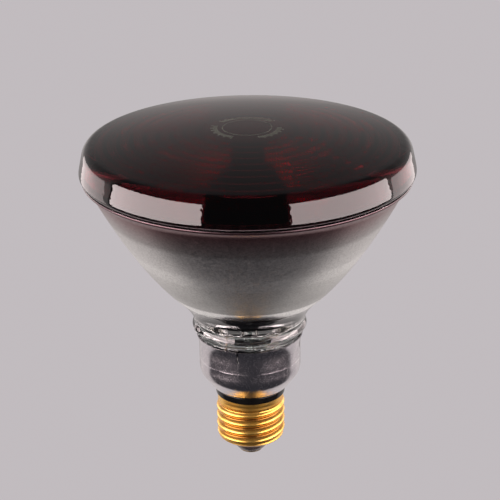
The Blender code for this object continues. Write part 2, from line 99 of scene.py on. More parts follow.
# Cap.
THREAD_PITCH = 3.629 * MM
THREAD_CREST_RADIUS = 13.15 * MM
THREAD_ROOT_RADIUS = 12.05 * MM
THREAD_FRONT_CREST = 9.25 * MM
THREAD_START = 7.4 * MM
THREAD_END = 22.6 * MM
THREAD_FADE = 2.0 * MM
SHELL_SHEET = 0.3 * MM
SKIRT_SHEET = 0.35 * MM
SKIRT_BEAD_HEIGHT = 40.9 * MM
SLIT_WIDTH = 0.7 * MM
SLIT_BOTTOM = 45.4 * MM
SLIT_BEARING = math.radians(-103.6)

# Studio.
BACKGROUND = (0.535, 0.500, 0.520)
VIEW_TARGET = Vector((0.0005, 0.0, 0.0833))
VIEW_DISTANCE = 0.570
VIEW_ELEVATION = math.radians(22.5)
VIEW_ROLL = math.radians(-0.72)
VIEW_LENS = 110.8
DARK_ROOM = (0.040, 0.040, 0.046)
PALE_ROOM = (0.73, 0.68, 0.67)
LIGHT_TARGET = Vector((0.0, 0.0, 0.1))
LIGHT_REACH = 1.6
LIGHT_TINT = (1.0, 0.85, 0.845)
FLOOR_HEIGHT = -0.8
FLOOR_RADIUS = 14.0


# Mesh tools.

def placed(name, data):
    """A new object in the scene that holds the data."""
    made = bpy.data.objects.new(name, data)
    bpy.context.scene.collection.objects.link(made)
    return made


def mesh_from(shape, name):
    mesh = bpy.data.meshes.new(name)
    shape.to_mesh(mesh)
    shape.free()
    return mesh


def shade_round(mesh):
    mesh.shade_smooth()
    mesh.set_sharp_from_angle(angle=math.radians(40))


def arc(centre, radius, start, end, steps):
    """Points of a circular arc in the (r, z) plane, angles from +r towards +z."""
    angles = [start + (end - start) * step / steps for step in range(steps + 1)]
    return [(centre[0] + radius * math.cos(a), centre[1] + radius * math.sin(a)) for a in angles]


def rounded(points, radius, closed=False, steps=3):
    """Replace each corner of an (r, z) line by a short curve."""
    count = len(points)
    result = []
    for index, corner in enumerate(points):
        if not closed and index in (0, count - 1):
            result.append(corner)
            continue
        here = Vector(corner)
        before = Vector(points[index - 1])
        after = Vector(points[(index + 1) % count])
        reach_in = min(radius, 0.45 * (before - here).length)
        reach_out = min(radius, 0.45 * (after - here).length)
        start = here + (before - here).normalized() * reach_in
        end = here + (after - here).normalized() * reach_out
        for step in range(steps + 1):
            t = step / steps
            place = start * (1 - t) ** 2 + here * 2 * t * (1 - t) + end * t ** 2
            result.append((place.x, place.y))
    return result


def flowing(points, steps):
    """An (r, z) line that runs smoothly through all the given points."""
    ends = [points[0], *points, points[-1]]
    result = []
    for a, b, c, d in zip(ends, ends[1:], ends[2:], ends[3:]):
        a, b, c, d = map(Vector, (a, b, c, d))
        for step in range(steps):
            t = step / steps
            place = 0.5 * (2 * b + (c - a) * t + (2 * a - 5 * b + 4 * c - d) * t ** 2
                           + (3 * b - a - 3 * c + d) * t ** 3)
            result.append((place.x, place.y))
    result.append(tuple(points[-1]))
    return result


def parabola(focus, vertex, start, end, steps):
    heights = [start + (end - start) * step / steps for step in range(steps + 1)]
    return [(2 * math.sqrt(focus * (height - vertex)), height) for height in heights]


def offset_inwards(points, distance):
    """Move an (r, z) line that runs up and outwards towards the axis by a distance."""
    moved = []
    for index, (radius, height) in enumerate(points):
        before = Vector(points[max(index - 1, 0)])
        after = Vector(points[min(index + 1, len(points) - 1)])
        along = (after - before).normalized()
        moved.append((radius - distance * along.y, height + distance * along.x))
    return moved


def lathe(name, outline, steps=ROUND_STEPS, closed=True, form=None, centre=(0.0, 0.0)):
    """Turn an (r, z) outline about Z.  form(radius, height, angle) may move each point."""
    shape = bmesh.new()
    rings = []
    for radius, height in outline:
        if radius < 1e-7:
            rings.append([shape.verts.new((centre[0], centre[1], height))])
            continue
        ring = []
        for step in range(steps):
            angle = 2 * math.pi * step / steps
            r, z = form(radius, height, angle) if form else (radius, height)
            ring.append(shape.verts.new((centre[0] + r * math.cos(angle),
                                         centre[1] + r * math.sin(angle), z)))
        rings.append(ring)
    pairs = list(zip(rings, rings[1:]))
    if closed:
        pairs.append((rings[-1], rings[0]))
    for upper, lower in pairs:
        if len(upper) == 1 and len(lower) == 1:
            continue
        for step in range(steps):
            after = (step + 1) % steps
            if len(upper) == 1:
                shape.faces.new((upper[0], lower[step], lower[after]))
            elif len(lower) == 1:
                shape.faces.new((upper[step], lower[0], upper[after]))
            else:
                shape.faces.new((upper[step], lower[step], lower[after], upper[after]))
    bmesh.ops.recalc_face_normals(shape, faces=shape.faces)
    mesh = mesh_from(shape, name)
    shade_round(mesh)
    return placed(name, mesh)


def wire(name, points, radius, resolution):
    """A round wire through points, as a mesh."""
    curve = bpy.data.curves.new(name + "_curve", "CURVE")
    curve.dimensions = "3D"
    curve.bevel_depth = radius
    curve.bevel_resolution = resolution
    curve.use_fill_caps = True
    spline = curve.splines.new("POLY")
    spline.points.add(len(points) - 1)
    for spline_point, place in zip(spline.points, points):
        spline_point.co = (*place, 1.0)
    holder = placed(name + "_curve", curve)
    graph = bpy.context.evaluated_depsgraph_get()
    mesh = bpy.data.meshes.new_from_object(holder.evaluated_get(graph))
    bpy.data.objects.remove(holder)
    mesh.name = name
    shape = bmesh.new()
    shape.from_mesh(mesh)
    bmesh.ops.remove_doubles(shape, verts=shape.verts, dist=1e-6)
    shape.to_mesh(mesh)
    shape.free()
    shade_round(mesh)
    return placed(name, mesh)


def settle(piece, node, material):
    """Give a fine piece its material, and let it stand for its CAD node."""
    piece.data.materials.clear()
    piece.data.materials.append(material)
    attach(piece, "root")
    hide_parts(node)
    return piece


def cut_away(piece, shape, name):
    """Take the space of a closed shape out of a piece."""
    cutter = placed(name, mesh_from(shape, name))
    boolean = piece.modifiers.new("Cut", "BOOLEAN")
    boolean.operation = "DIFFERENCE"
    boolean.object = cutter
    bpy.context.view_layer.update()
    graph = bpy.context.evaluated_depsgraph_get()
    cut_mesh = bpy.data.meshes.new_from_object(piece.evaluated_get(graph))
    piece.modifiers.clear()
    piece.data = cut_mesh
    bpy.data.objects.remove(cutter)


# Node tools.

class Nodes:
    """Short ways to add nodes to a node tree.  A value is a number, a colour or a socket."""

    def __init__(self, tree):
        self.tree = tree

    def feed(self, target, value):
        if isinstance(value, bpy.types.NodeSocket):
            self.tree.links.new(value, target)
        else:
            target.default_value = value

    def node(self, kind, **inputs):
        made = self.tree.nodes.new(kind)
        for socket, value in inputs.items():
            self.feed(made.inputs[socket.replace("_", " ")], value)
        return made

    def spread(self, value, low, high, to_low, to_high):
        made = self.node("ShaderNodeMapRange", Value=value, From_Min=low, From_Max=high,
                         To_Min=to_low, To_Max=to_high)
        return made.outputs["Result"]

    def ramp(self, value, *stops):
        made = self.node("ShaderNodeValToRGB", Fac=value)
        elements = made.color_ramp.elements
        while len(elements) < len(stops):
            elements.new(0.5)
        for element, (place, colour) in zip(elements, stops):
            element.position = place
            element.color = (*colour, 1.0)
        return made.outputs["Color"]

    def maths(self, operation, first, second=0.0):
        made = self.tree.nodes.new("ShaderNodeMath")
        made.operation = operation
        self.feed(made.inputs[0], first)
        self.feed(made.inputs[1], second)
        return made.outputs["Value"]

    def mix(self, share, first, second, blend="MIX"):
        made = self.tree.nodes.new("ShaderNodeMix")
        made.data_type = "RGBA"
        made.blend_type = blend
        inputs = {socket.name: socket for socket in made.inputs if socket.enabled}
        self.feed(inputs["Factor"], share)
        for label, colour in (("A", first), ("B", second)):
            self.feed(inputs[label], (*colour, 1.0) if isinstance(colour, tuple) else colour)
        return next(socket for socket in made.outputs if socket.enabled)


class Surface(Nodes):
    """A Principled material, whose patterns follow the object's own coordinates."""

    def __init__(self, name, **values):
        self.material = bpy.data.materials.new(name)
        self.material.use_nodes = True
        super().__init__(self.material.node_tree)
        self.shader = self.tree.nodes["Principled BSDF"]
        for socket, value in values.items():
            self.shader.inputs[socket.replace("_", " ")].default_value = value
        self.coordinates = self.node("ShaderNodeTexCoord").outputs["Object"]

    def scaled(self, scale):
        return self.node("ShaderNodeMapping", Vector=self.coordinates, Scale=scale).outputs["Vector"]

    def noise(self, scale, detail=3.0, roughness=0.55, distortion=0.0, coordinates=None):
        made = self.node("ShaderNodeTexNoise", Vector=coordinates or self.coordinates,
                         Scale=scale, Detail=detail, Roughness=roughness, Distortion=distortion)
        return made.outputs["Fac"]

    def place(self):
        return self.node("ShaderNodeSeparateXYZ", Vector=self.coordinates).outputs

    def height(self):
        return self.place()["Z"]

    def bearing(self):
        """The angle round the axis, in radians from the +X direction."""
        place = self.place()
        return self.maths("ARCTAN2", place["Y"], place["X"])

    def reach(self):
        """The distance from the axis."""
        place = self.place()
        square = self.maths("ADD", self.maths("POWER", place["X"], 2.0),
                            self.maths("POWER", place["Y"], 2.0))
        return self.maths("SQRT", square)

    def link(self, value, socket):
        self.tree.links.new(value, self.shader.inputs[socket])

    def bump(self, height, strength, distance):
        made = self.node("ShaderNodeBump", Height=height, Strength=strength, Distance=distance)
        self.tree.links.new(made.outputs["Normal"], self.shader.inputs["Normal"])


# Materials.

def ruby_glass(name, colour, waviness, strength):
    glass = Surface(name, Base_Color=(*colour, 1.0), Transmission_Weight=1.0,
                    IOR=1.51, Roughness=0.02)
    smears = glass.noise(38.0, detail=4.0, distortion=0.8)
    glass.link(glass.spread(smears, 0.35, 0.75, 0.008, 0.045), "Roughness")
    glass.bump(glass.noise(waviness, detail=2.0), strength, 0.2 * MM)
    return glass.material


def clear_glass(name, colour):
    glass = Surface(name, Base_Color=(*colour, 1.0), Transmission_Weight=1.0,
                    IOR=1.5, Roughness=0.02)
    glass.link(glass.spread(glass.noise(160.0), 0.35, 0.75, 0.01, 0.06), "Roughness")
    glass.bump(glass.noise(140.0, detail=2.0), 0.12, 0.3 * MM)
    return glass.material


def silvered_glass():
    """The bowl seen from outside: a stippled metal, with painted highlight and shade in horizontal
    stripes by height, and painted dark red shade under the rim.
    """
    bowl = Surface("silvered_glass", Metallic=1.0, Roughness=0.36, Coat_Weight=0.35,
                   Coat_Roughness=0.22, Coat_IOR=1.5)
    share = bowl.spread(bowl.height(), SATIN_BOTTOM, RIM_HEIGHT, 0.0, 1.0)
    # Painted highlight and shade: the base colour steps lighter and darker by height, ending in
    # painted dark red shade under the rim.
    painted_highlight_shade_bands = bowl.ramp(share, (0.0, (0.86, 0.86, 0.84)), (0.020, (0.42, 0.42, 0.405)),
                      (0.120, (0.40, 0.40, 0.385)), (0.310, (0.64, 0.64, 0.62)),
                      (0.345, (0.76, 0.76, 0.74)), (0.430, (0.82, 0.82, 0.80)),
                      (0.465, (0.70, 0.695, 0.68)), (0.680, (0.58, 0.565, 0.555)),
                      (0.725, (0.36, 0.33, 0.325)), (0.900, (0.22, 0.115, 0.12)),
                      (0.960, (0.16, 0.060, 0.070)), (1.0, (0.085, 0.065, 0.072)))
    speckle = bowl.ramp(bowl.noise(1500.0, detail=2.0), (0.30, (0.72, 0.72, 0.72)),
                        (0.62, (1.0, 1.0, 1.0)))
    clouds = bowl.ramp(bowl.noise(55.0, detail=4.0), (0.3, (0.90, 0.90, 0.90)),
                       (0.7, (1.0, 1.0, 1.0)))
    shaded = bowl.mix(1.0, painted_highlight_shade_bands, speckle, "MULTIPLY")
    bowl.link(bowl.mix(1.0, shaded, clouds, "MULTIPLY"), "Base Color")
    grain = bowl.spread(bowl.noise(900.0), 0.3, 0.7, 0.29, 0.40)
    satin = bowl.spread(bowl.height(), SATIN_BOTTOM, SATIN_BOTTOM + 0.6 * MM, 0.5, 1.0)
    bowl.link(bowl.maths("MULTIPLY", grain, satin), "Roughness")
    bowl.bump(bowl.noise(1100.0, detail=2.0), 0.25, 0.05 * MM)
    return bowl.material


def mirror_film():
    film = Surface("mirror_film", Metallic=1.0)
    film.link(film.ramp(film.noise(120.0), (0.3, (0.80, 0.80, 0.80)), (0.7, (0.88, 0.88, 0.87))),
              "Base Color")
    film.link(film.spread(film.noise(300.0), 0.3, 0.7, 0.06, 0.14), "Roughness")
    return film.material


def skirt_aluminium():
    """Drawn sheet: turning lines, hairline scratches, a crease at the bead and a seam under a slit."""
    sheet = Surface("skirt_aluminium", Metallic=1.0, Roughness=0.16)
    lines = sheet.noise(1.0, detail=5.0, coordinates=sheet.scaled((30.0, 30.0, 2600.0)))
    blotches = sheet.noise(210.0, detail=5.0, roughness=0.7)
    hairs = sheet.noise(150.0, detail=6.0, roughness=0.75, distortion=1.6)
    hair = sheet.ramp(hairs, (0.495, (0.0,) * 3), (0.500, (1.0,) * 3), (0.506, (0.0,) * 3))
    colour = sheet.ramp(blotches, (0.32, (0.50, 0.475, 0.51)), (0.68, (0.63, 0.60, 0.62)))
    colour = sheet.mix(sheet.maths("MULTIPLY", hair, 0.35), colour, (0.92, 0.90, 0.93))
    seam_half_angle = 0.007
    turn = sheet.maths("SUBTRACT", sheet.bearing(), SLIT_BEARING)
    seam = sheet.maths("LESS_THAN", sheet.maths("ABSOLUTE", turn), seam_half_angle)
    below = sheet.maths("LESS_THAN", sheet.height(), SLIT_BOTTOM + 0.3 * MM)
    above = sheet.maths("GREATER_THAN", sheet.height(), SKIRT_BEAD_HEIGHT - 3 * MM)
    seam = sheet.maths("MULTIPLY", sheet.maths("MULTIPLY", seam, below), above)
    broken = sheet.spread(sheet.noise(500.0), 0.42, 0.58, 0.0, 0.6)
    offset = sheet.maths("SUBTRACT", sheet.height(), SKIRT_BEAD_HEIGHT)
    crease = sheet.spread(sheet.maths("ABSOLUTE", offset), 0.05 * MM, 0.22 * MM, 1.0, 0.0)
    marks = sheet.maths("MAXIMUM", seam, crease)
    colour = sheet.mix(sheet.maths("MULTIPLY", marks, broken), colour, (0.95, 0.93, 0.96))
    sheet.link(colour, "Base Color")
    rough = sheet.spread(blotches, 0.3, 0.7, 0.17, 0.23)
    worn = sheet.maths("MAXIMUM", sheet.maths("MULTIPLY", hair, 0.10),
                       sheet.maths("MULTIPLY", sheet.maths("MULTIPLY", marks, broken), 0.08))
    sheet.link(sheet.maths("ADD", rough, worn), "Roughness")
    sheet.bump(sheet.maths("ADD", lines, sheet.maths("MULTIPLY", hair, 0.4)), 0.10, 0.05 * MM)
    return sheet.material


def black_insulation():
    resin = Surface("black_insulation", IOR=1.32)
    resin.link(resin.ramp(resin.noise(260.0), (0.3, (0.002, 0.002, 0.002)),
                          (0.7, (0.006, 0.006, 0.005))), "Base Color")
    resin.link(resin.spread(resin.noise(420.0), 0.3, 0.7, 0.10, 0.24), "Roughness")
    resin.bump(resin.noise(600.0), 0.10, 0.04 * MM)
    return resin.material


def shell_brass():
    """Rolled brass with uneven stains, and painted shade that darkens the thread's roots."""
    brass = Surface("shell_brass", Metallic=1.0)
    stains = brass.noise(130.0, detail=5.0, roughness=0.65)
    fine = brass.noise(900.0, detail=3.0)
    colour = brass.ramp(stains, (0.30, (0.72, 0.37, 0.06)), (0.55, (0.86, 0.52, 0.12)),
                        (0.75, (0.92, 0.62, 0.20)))
    colour = brass.mix(brass.spread(fine, 0.55, 0.75, 0.0, 0.35), colour, (0.48, 0.25, 0.06))
    # Painted shade: the colour darkens from the crests down into the thread's roots.
    painted_shade_valley = brass.spread(brass.reach(), THREAD_ROOT_RADIUS + 0.05 * MM,
                          THREAD_ROOT_RADIUS + 0.55 * MM, 0.85, 0.0)
    brass.link(brass.mix(painted_shade_valley, colour, (0.26, 0.10, 0.02)), "Base Color")
    brass.link(brass.spread(stains, 0.3, 0.7, 0.40, 0.30), "Roughness")
    lines = brass.noise(1.0, detail=4.0, coordinates=brass.scaled((40.0, 40.0, 3000.0)))
    brass.bump(lines, 0.04, 0.02 * MM)
    return brass.material


def black_glass():
    glass = Surface("black_glass", IOR=1.52)
    glass.link(glass.ramp(glass.noise(240.0, detail=4.0), (0.3, (0.018, 0.014, 0.016)),
                          (0.7, (0.060, 0.048, 0.046))), "Base Color")
    glass.link(glass.spread(glass.noise(500.0), 0.3, 0.7, 0.10, 0.32), "Roughness")
    glass.bump(glass.noise(380.0), 0.15, 0.06 * MM)
    return glass.material


def metal(name, dark, light, low, high, scale):
    """A plain metal with uneven colour and gloss and a fine grain."""
    made = Surface(name, Metallic=1.0)
    uneven = made.noise(scale, detail=4.0)
    made.link(made.ramp(uneven, (0.3, dark), (0.7, light)), "Base Color")
    made.link(made.spread(uneven, 0.3, 0.7, high, low), "Roughness")
    made.bump(made.noise(scale * 4.0), 0.15, 0.04 * MM)
    return made.material


def plain(name, dark, light, low, high, scale):
    """A matt or glossy non-metal with uneven colour."""
    made = Surface(name)
    uneven = made.noise(scale, detail=4.0)
    made.link(made.ramp(uneven, (0.3, dark), (0.7, light)), "Base Color")
    made.link(made.spread(uneven, 0.3, 0.7, low, high), "Roughness")
    made.bump(made.noise(scale * 3.0), 0.2, 0.05 * MM)
    return made.material


# Lens.

def dome_outline():
    """From the apex over the crown, the knee and the tapered band to the joint line."""
    taper_end_radius = LENS_RADIUS - (TAPER_END - TAPER_START) * math.tan(TAPER_LEAN)
    knee_centre = (taper_end_radius - KNEE_FILLET * math.cos(TAPER_LEAN),
                   TAPER_END - KNEE_FILLET * math.sin(TAPER_LEAN))
    rise = LENS_TOP - knee_centre[1]
    ball = (knee_centre[0] ** 2 + rise ** 2 - KNEE_FILLET ** 2) / (2 * (rise - KNEE_FILLET))
    lean = math.atan2(knee_centre[0], ball - rise)
    crown_centre = (0.0, LENS_TOP - ball)
    crown = arc(crown_centre, ball, math.pi / 2, math.pi / 2 - lean, 40)
    knee = arc(knee_centre, KNEE_FILLET, math.pi / 2 - lean, TAPER_LEAN, 14)
    return [(0.0, LENS_TOP)] + crown[1:] + knee[1:], crown_centre, ball


def lens_outline():
    outside, crown_centre, ball = dome_outline()
    bulge = rounded([outside[-1], (LENS_RADIUS, TAPER_START), (LENS_RADIUS, LENS_BOTTOM + 0.8 * MM),
                     (RIM_RADIUS, LENS_BOTTOM), (RIM_INNER_RADIUS, LENS_BOTTOM),
                     (RIM_INNER_RADIUS - 0.6 * MM, LENS_BOTTOM + 5.0 * MM)], 1.2 * MM, steps=5)
    inner_ball = ball - LENS_WALL
    inside = []
    radius = RIB_OUTER_RADIUS + 1.6 * MM
    while radius > 0.2 * MM:
        height = crown_centre[1] + math.sqrt(inner_ball ** 2 - radius ** 2)
        ribbed = RIB_INNER_RADIUS <= radius <= RIB_OUTER_RADIUS
        wave = 0.5 - 0.5 * math.cos(2 * math.pi * (radius - RIB_INNER_RADIUS) / RIB_PITCH)
        inside.append((radius, height - (RIB_DEPTH * wave if ribbed else 0.0)))
        radius -= RIB_PITCH / RIB_STEPS
    inside.append((0.0, crown_centre[1] + inner_ball))
    return outside + bulge[1:] + inside


def make_lens(ruby, edge, seal):
    """The lens: darker at its thick edge, where the tint is also set darker as painted shade along the
    band, with a thin grey seal at its lower edge.
    """
    lens = lathe("front_lens", lens_outline(), closed=False)
    settle(lens, "front_lens", ruby)
    lens.data.materials.append(edge)
    lens.data.materials.append(seal)
    for face in lens.data.polygons:
        if face.center.z < LENS_BOTTOM + SEAL_HEIGHT:
            face.material_index = 2
        elif math.hypot(face.center.x, face.center.y) > EDGE_RADIUS:
            # Thick edge glass, its tint darkened further as painted shade.
            face.material_index = 1
    return lens


def lens_mark():
    """A generic printed ring on the crown: a dotted circle inside three arcs of plain bars."""
    _, crown_centre, ball = dome_outline()
    dots = 56
    dot_width = 0.6 * MM
    bar_width = 0.34 * MM
    bar_spacing = 4
    bars = []
    for dot in range(dots):
        bars.append((2 * math.pi * dot / dots, 8.7 * MM, 9.0 * MM, dot_width))
    for middle, half in ((90, 50), (205, 38), (325, 34)):
        count = half // bar_spacing
        for bar in range(-count, count + 1):
            bearing = math.radians(middle + bar * half / count)
            outer = 12.4 * MM if bar % 3 else 13.2 * MM
            bars.append((bearing, 10.7 * MM, outer, bar_width))
    shape = bmesh.new()
    for bearing, inner, outer, width in bars:
        corners = []
        for lift in (MARK_LIFT, MARK_LIFT - MARK_DEPTH):
            for radius in (inner, outer):
                for side in (-width / 2, width / 2):
                    place = Matrix.Rotation(bearing, 3, "Z") @ Vector((radius, side, 0.0))
                    reach = math.hypot(place.x, place.y)
                    place.z = crown_centre[1] + math.sqrt((ball + lift) ** 2 - reach ** 2)
                    corners.append(shape.verts.new(place))
        for face in ((0, 1, 3, 2), (4, 6, 7, 5), (0, 4, 5, 1), (2, 3, 7, 6), (0, 2, 6, 4),
                     (1, 5, 7, 3)):
            shape.faces.new([corners[index] for index in face])
    bmesh.ops.recalc_face_normals(shape, faces=shape.faces)
    mesh = mesh_from(shape, "lens_mark")
    piece = placed("lens_mark", mesh)
    ink = plain("mark_ink", (0.24, 0.28, 0.22), (0.36, 0.41, 0.33), 0.6, 0.85, 800.0)
    mesh.materials.append(ink)
    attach(piece, "root")
    return piece


# Reflector.

def heel_form(radius, height, angle):
    """Four pressed lugs on the neck's bead."""
    first_lug = math.radians(-68.0)
    lug_height = 55.6 * MM
    lug_reach = 1.5 * MM
    lug_angle = 0.10
    lug_swell = 0.7 * MM
    bead_radius = 20.0 * MM
    lug = 0.0
    for quarter in range(4):
        turn = math.remainder(angle - first_lug - quarter * math.pi / 2, 2 * math.pi)
        lug += math.exp(-(turn / lug_angle) ** 2 - ((height - lug_height) / lug_reach) ** 2)
    if radius > bead_radius:
        radius += lug_swell * lug
    return radius, height


def reflector_outline():
    rim = [(RIM_INNER_RADIUS, RIM_HEIGHT), (RIM_RADIUS, RIM_HEIGHT),
           (RIM_RADIUS, RIM_HEIGHT - 1.2 * MM)]
    bowl = parabola(BOWL_FOCUS, BOWL_VERTEX, BOWL_END, 73.4 * MM, 26)
    heel = flowing([(33.2 * MM, 73.0 * MM), (32.5 * MM, 72.2 * MM), (31.6 * MM, 71.2 * MM),
                    (29.4 * MM, 68.8 * MM), (26.5 * MM, 66.0 * MM), (23.9 * MM, 63.0 * MM),
                    (22.1 * MM, 60.2 * MM), (21.2 * MM, 58.0 * MM), (20.9 * MM, 56.6 * MM),
                    (21.2 * MM, 55.5 * MM), (21.5 * MM, 54.5 * MM), (21.1 * MM, 53.3 * MM),
                    (20.1 * MM, 52.3 * MM), (19.3 * MM, 51.0 * MM), (18.7 * MM, 49.0 * MM),
                    (18.45 * MM, 46.5 * MM)], 3)
    neck = rounded([heel[-1], (18.45 * MM, glass_low.z), (NECK_BORE, glass_low.z),
                    (NECK_BORE - 0.2 * MM, 52.5 * MM), (13.0 * MM, FLOOR_BOTTOM),
                    (0.0, FLOOR_BOTTOM)], 1.0 * MM, steps=4)
    mirror_side = parabola(MIRROR_FOCUS, MIRROR_VERTEX, FLOOR_TOP + 1.5 * MM, BOWL_END, 26)
    floor = rounded([(0.0, FLOOR_TOP), (13.0 * MM, FLOOR_TOP), mirror_side[0]], 1.0 * MM)
    rim = rounded([mirror_side[-1]] + rim + [bowl[0]], 0.7 * MM, steps=4)
    return floor + mirror_side[1:] + rim[1:-1] + bowl + heel + neck[1:]


def bore_floor(body):
    """Holes in the glass floor for the two ferrules and the exhaust tip."""
    depth = FLOOR_TOP - FLOOR_BOTTOM + 2 * MM
    for node in ("ferrule_left", "ferrule_right", "exhaust_tip"):
        low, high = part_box(node)
        radius = (high.x - low.x) / 2 + FLOOR_GAP
        middle = ((low.x + high.x) / 2, (low.y + high.y) / 2, (FLOOR_TOP + FLOOR_BOTTOM) / 2)
        bore = bmesh.new()
        bmesh.ops.create_cone(bore, cap_ends=True, segments=SMALL_STEPS, radius1=radius,
                              radius2=radius, depth=depth)
        bmesh.ops.translate(bore, verts=bore.verts, vec=middle)
        cut_away(body, bore, "bore")
    body.data.name = "reflector_body"


def make_reflector(glass, silver, heel):
    """The bowl: silvered outside above the heel, tinted near black on the heel as painted shade, and
    clear elsewhere.
    """
    skin = 1.5 * MM
    rim_edge = RIM_HEIGHT - 0.3 * MM
    body = lathe("reflector_body", reflector_outline(), closed=False, form=heel_form)
    bore_floor(body)
    settle(body, "reflector_body", glass)
    body.data.materials.append(silver)
    body.data.materials.append(heel)
    for face in body.data.polygons:
        reach = math.hypot(face.center.x, face.center.y)
        height = face.center.z
        wall = 2 * math.sqrt(MIRROR_FOCUS * max(height - MIRROR_VERTEX, 0.0))
        if reach > wall + skin and HEEL_BOTTOM < height < rim_edge:
            # On the heel the near-black glass is painted shade.
            face.material_index = 1 if height > SILVER_BOTTOM else 2
    return body


def make_mirror(material):
    glass = parabola(MIRROR_FOCUS, MIRROR_VERTEX, MIRROR_BOTTOM, BOWL_END, 48)
    back = offset_inwards(glass, 0.06 * MM)
    face = offset_inwards(glass, 0.16 * MM)
    film = lathe("mirror_coating", back[::-1] + face)
    return settle(film, "mirror_coating", material)


# Cap.

def make_skirt(material):
    """The drawn skirt, with four slits in its lip, each pair cut by one blade."""
    lip = skirt_high.x
    waist = 19.2 * MM
    bead = SKIRT_BEAD_HEIGHT
    outside = flowing([(lip, skirt_high.z), (19.75 * MM, 49.5 * MM), (19.4 * MM, 48.2 * MM),
                       (waist, 46.4 * MM), (waist, 43.6 * MM), (waist, bead + 0.6 * MM),
                       (waist + 0.04 * MM, bead), (waist, bead - 0.6 * MM), (waist, 39.0 * MM),
                       (waist, 37.2 * MM), (18.7 * MM, 34.9 * MM), (17.3 * MM, 32.8 * MM),
                       (15.7 * MM, 30.7 * MM), (14.5 * MM, 29.1 * MM), (13.6 * MM, 28.5 * MM),
                       (13.0 * MM, skirt_low.z), (11.6 * MM, skirt_low.z)], 4)
    inside = offset_inwards(outside[::-1], SKIRT_SHEET)
    inside[-1] = (lip - SKIRT_SHEET, skirt_high.z)
    edge = rounded([inside[-2], inside[-1], outside[0], outside[1]], 0.16 * MM, steps=4)
    skirt = lathe("skirt", edge[1:-1] + outside[1:] + inside[:-1])
    blade = (3 * lip, SLIT_WIDTH, 12 * MM)
    for index in range(2):
        slit = bmesh.new()
        bmesh.ops.create_cube(slit, size=1.0)
        bmesh.ops.scale(slit, verts=slit.verts, vec=blade)
        bmesh.ops.translate(slit, verts=slit.verts, vec=(0, 0, SLIT_BOTTOM + blade[2] / 2))
        turn = Matrix.Rotation(SLIT_BEARING + index * math.pi / 2, 3, "Z")
        bmesh.ops.rotate(slit, verts=slit.verts, matrix=turn)
        cut_away(skirt, slit, "slit")
    skirt.data.name = "skirt"
    return settle(skirt, "skirt", material)


def thread_form(radius, height, angle):
    """Roll the thread into the plain shell."""
    run_in = (height - THREAD_START) / THREAD_FADE
    run_out = (THREAD_END - height) / THREAD_FADE
    share = max(0.0, min(1.0, run_in, run_out))
    share = share * share * (3 - 2 * share)
    turn = 2 * math.pi * (height - THREAD_FRONT_CREST) / THREAD_PITCH - (angle + math.pi / 2)
    depth = (THREAD_CREST_RADIUS - THREAD_ROOT_RADIUS) / 2
    wave = math.cos(turn)
    return radius + depth * share * (wave - 0.10 * math.cos(2 * turn) + 0.10), height


def make_screw_shell(material):
    middle = (THREAD_CREST_RADIUS + THREAD_ROOT_RADIUS) / 2 - 0.06 * MM
    top = shell_high.z
    rows = 84
    collar = rounded([(12.75 * MM, top), (12.7 * MM, top - 1.0 * MM), (12.5 * MM, top - 1.6 * MM),
                      (middle, THREAD_END)], 0.5 * MM)
    thread = [(middle, THREAD_END + (THREAD_START - THREAD_END) * row / rows)
              for row in range(1, rows)]
    toe = rounded([(middle, THREAD_START), (11.9 * MM, 6.8 * MM), (10.5 * MM, 5.9 * MM),
                   (9.0 * MM, shell_low.z)], 0.9 * MM, steps=4)
    outside = collar + thread + toe
    inside = offset_inwards(outside[::-1], SHELL_SHEET)
    inside[-1] = (12.75 * MM - SHELL_SHEET, top)
    shell = lathe("screw_shell", outside + inside, steps=144, form=thread_form)
    return settle(shell, "screw_shell", material)


def make_insulating_ring(material):
    top = skirt_low.z - 0.15 * MM
    bottom = shell_high.z + 0.15 * MM
    radius = ring_high.x
    outline = [(11.0 * MM, ring_high.z), (11.0 * MM, top), (radius, top), (radius, bottom),
               (12.0 * MM, bottom), (12.0 * MM, ring_low.z), (10.6 * MM, ring_low.z),
               (10.6 * MM, ring_high.z - 1.0 * MM)]
    ring = lathe("insulating_ring", rounded(outline, 0.45 * MM, closed=True, steps=4))
    return settle(ring, "insulating_ring", material)


def make_base_insulator(material):
    top = insulator_high.z
    outline = [(10.6 * MM, top), (10.9 * MM, 9.4 * MM), (10.9 * MM, 8.2 * MM),
               (8.5 * MM, 6.3 * MM), (8.5 * MM, 5.3 * MM), (7.3 * MM, 4.4 * MM),
               (6.4 * MM, 2.6 * MM), (5.5 * MM, 1.3 * MM), (5.0 * MM, 0.95 * MM),
               (4.75 * MM, 0.95 * MM), (4.75 * MM, 1.4 * MM), (1.9 * MM, 1.4 * MM),
               (1.9 * MM, 8.6 * MM), (4.0 * MM, 9.6 * MM)]
    insulator = lathe("base_insulator", rounded(outline, 0.5 * MM, closed=True, steps=4))
    return settle(insulator, "base_insulator", material)


def make_contact(material):
    radius = contact_high.x
    height = contact_high.z
    outline = [(radius, height), (radius, 0.25 * MM), (radius - 0.35 * MM, 0.0),
               (1.9 * MM, 0.0), (1.65 * MM, 0.25 * MM), (1.65 * MM, height)]
    contact = lathe("centre_contact", rounded(outline, 0.18 * MM, closed=True, steps=4), steps=96)
    return settle(contact, "centre_contact", material)


def solder_form(radius, height, angle):
    """A slightly uneven edge, as melted solder has."""
    return radius * (1.0 - 0.05 * (1 + math.sin(3 * angle) * math.cos(angle))), height


def make_solder(material):
    radius = solder_high.x + 0.2 * MM
    outline = [(0.0, solder_high.z), (radius - 0.4 * MM, solder_high.z), (radius, 0.9 * MM),
               (radius, 0.15 * MM), (radius - 0.35 * MM, 0.0), (0.0, 0.0)]
    solder = lathe("contact_solder", rounded(outline, 0.2 * MM), steps=SMALL_STEPS, closed=False,
                   form=solder_form)
    return settle(solder, "contact_solder", material)


# Mount inside the bulb.

